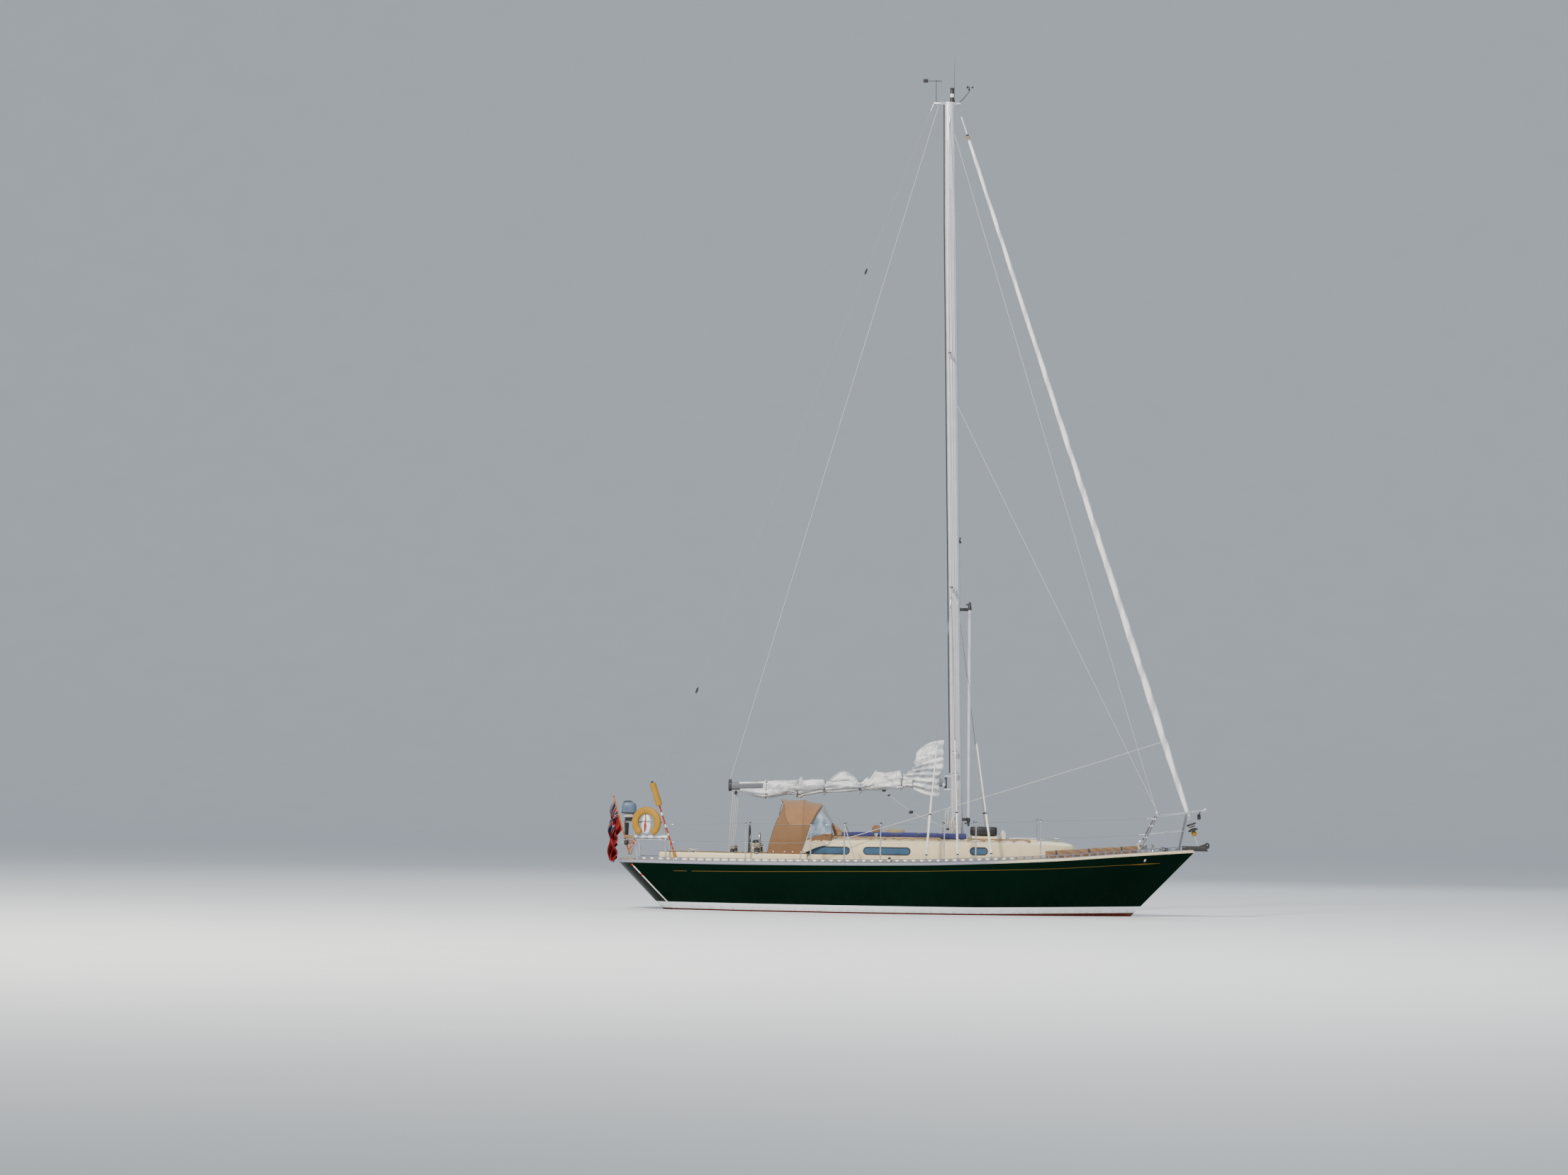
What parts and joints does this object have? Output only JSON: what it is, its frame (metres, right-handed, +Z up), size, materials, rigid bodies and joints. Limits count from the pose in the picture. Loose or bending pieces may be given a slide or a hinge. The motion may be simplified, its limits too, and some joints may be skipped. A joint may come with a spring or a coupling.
{
  "type": "sailing yacht",
  "caption": "Cruising sloop afloat with her whole hull, fin keel, skeg-hung rudder, furled genoa, stowed mainsail on a swinging boom, cockpit and hollow cabin.",
  "frame": {"origin": "on the waterline plane, at mid waterline on the centreline", "axes": "+X to the bow, +Y to port, +Z up"},
  "size_m": [11.015, 3.1996, 17.44],
  "materials": {
    "topsides_green": "high gloss",
    "antifouling": "matt",
    "moulded_cream": "satin gel coat",
    "teak_deck": "bare, weathered",
    "alloy": "anodised",
    "stainless_steel": "polished",
    "bronze": "dull",
    "window_glass": "tinted",
    "sailcloth": "woven",
    "hood_canvas": "woven",
    "blue_canvas": "woven",
    "ensign_cloth": "woven",
    "yellow_foam": "vinyl",
    "black_plastic": "satin",
    "varnished_wood": "varnished",
    "cast_iron": "painted"
  },
  "bodies": {
    "hull": {"aft_lower_port": "stainless_steel", "aft_lower_starboard": "stainless_steel", "backstay": "stainless_steel", "canvas_roll": "blue_canvas", "cap_shroud_port": "stainless_steel", "cap_shroud_starboard": "stainless_steel", "coachroof": "moulded_cream", "cockpit_coaming": "moulded_cream", "danbuoy": "yellow_foam", "deck": "teak_deck", "engine": "cast_iron", "ensign": "ensign_cloth", "ensign_staff": "varnished_wood", "forward_lower_port": "stainless_steel", "forward_lower_starboard": "stainless_steel", "guardrail_port": "stainless_steel", "guardrail_starboard": "stainless_steel", "hull": "topsides_green", "keel": "cast_iron", "lifebuoy": "yellow_foam", "mainsheet_track": "alloy", "mast": "alloy", "outboard_motor": "black_plastic", "pulpit": "stainless_steel", "pushpit": "stainless_steel", "shaft_bracket": "bronze", "skeg": "antifouling", "spinnaker_pole": "alloy", "sprayhood": "hood_canvas", "steering_pedestal": "moulded_cream", "stemhead_roller": "black_plastic", "toe_rail_port": "alloy", "toe_rail_starboard": "alloy", "valise": "black_plastic", "washboards": "teak_deck", "windlass": "stainless_steel", "window_aft_port": "window_glass", "window_aft_starboard": "window_glass", "window_forward_port": "window_glass", "window_forward_starboard": "window_glass", "window_middle_port": "window_glass", "window_middle_starboard": "window_glass"},
    "rudder": {"rudder": "antifouling"},
    "propeller": {"propeller": "bronze"},
    "steering wheel": {"steering_wheel": "black_plastic"},
    "boom": {"boom": "alloy", "mainsail": "sailcloth"},
    "genoa": {"furled_genoa": "sailcloth", "furler_drum": "black_plastic"},
    "companionway hatch": {"companionway_hatch": "moulded_cream"},
    "forehatch": {"forehatch": "moulded_cream"},
    "port locker lid": {"locker_lid_port": "teak_deck"},
    "starboard locker lid": {"locker_lid_starboard": "teak_deck"},
    "port primary winch": {"winch_primary_port": "stainless_steel"},
    "starboard primary winch": {"winch_primary_starboard": "stainless_steel"},
    "port secondary winch": {"winch_secondary_port": "stainless_steel"},
    "starboard secondary winch": {"winch_secondary_starboard": "stainless_steel"},
    "wind vane": {"wind_vane": "black_plastic"},
    "anemometer": {"anemometer": "black_plastic"}
  },
  "joints": [
    {"name": "boom_swing", "type": "hinge", "parent": "hull", "child": "boom", "pos_m": [0.905, 0, 2.385], "axis": [0, 0, 1], "range_deg": [-60, 60]},
    {"name": "rudder_turn", "type": "hinge", "parent": "hull", "child": "rudder", "pos_m": [-3.48, 0, -0.8], "axis": [0, 0, 1], "range_deg": [-35, 35]},
    {"name": "wheel_turn", "type": "hinge", "parent": "hull", "child": "steering wheel", "pos_m": [-2.665, 0, 1.195], "axis": [1, 0, 0], "range_deg": [-270, 270]},
    {"name": "propeller_spin", "type": "hinge", "parent": "hull", "child": "propeller", "pos_m": [-2.64, 0, -0.72], "axis": [0.9741, 0, 0.2259], "continuous": true},
    {"name": "genoa_furl", "type": "hinge", "parent": "hull", "child": "genoa", "pos_m": [5.337, 0, 1.867], "axis": [-0.3206, 0, 0.9472], "continuous": true},
    {"name": "hatch_slide", "type": "slide", "parent": "hull", "child": "companionway hatch", "axis": [1, 0, 0], "range_m": [0, 0.6]},
    {"name": "forehatch_open", "type": "hinge", "parent": "hull", "child": "forehatch", "pos_m": [2.602, 0, 1.38], "axis": [0, 1, 0], "range_deg": [0, 90]},
    {"name": "port_lid_open", "type": "hinge", "parent": "hull", "child": "port locker lid", "pos_m": [-2.54, 0.724, 0.632], "axis": [-1, 0, 0], "range_deg": [0, 80]},
    {"name": "starboard_lid_open", "type": "hinge", "parent": "hull", "child": "starboard locker lid", "pos_m": [-2.54, -0.724, 0.632], "axis": [1, 0, 0], "range_deg": [0, 80]},
    {"name": "port_primary_winch_spin", "type": "hinge", "parent": "hull", "child": "port primary winch", "pos_m": [-2.5, 0.985, 1.2], "axis": [0, 0, 1], "continuous": true},
    {"name": "starboard_primary_winch_spin", "type": "hinge", "parent": "hull", "child": "starboard primary winch", "pos_m": [-2.5, -0.985, 1.2], "axis": [0, 0, 1], "continuous": true},
    {"name": "port_secondary_winch_spin", "type": "hinge", "parent": "hull", "child": "port secondary winch", "pos_m": [-2.95, 0.925, 1.2], "axis": [0, 0, 1], "continuous": true},
    {"name": "starboard_secondary_winch_spin", "type": "hinge", "parent": "hull", "child": "starboard secondary winch", "pos_m": [-2.95, -0.925, 1.2], "axis": [0, 0, 1], "continuous": true},
    {"name": "vane_turn", "type": "hinge", "parent": "hull", "child": "wind vane", "pos_m": [0.545, 0, 15.29], "axis": [0, 0, 1], "continuous": true},
    {"name": "cups_spin", "type": "hinge", "parent": "hull", "child": "anemometer", "pos_m": [1.15, 0, 15.18], "axis": [0, 0, 1], "continuous": true}
  ],
  "couplings": [
    {"joint": "wheel_turn", "follows": "rudder_turn", "ratio": 7.7}
  ]
}
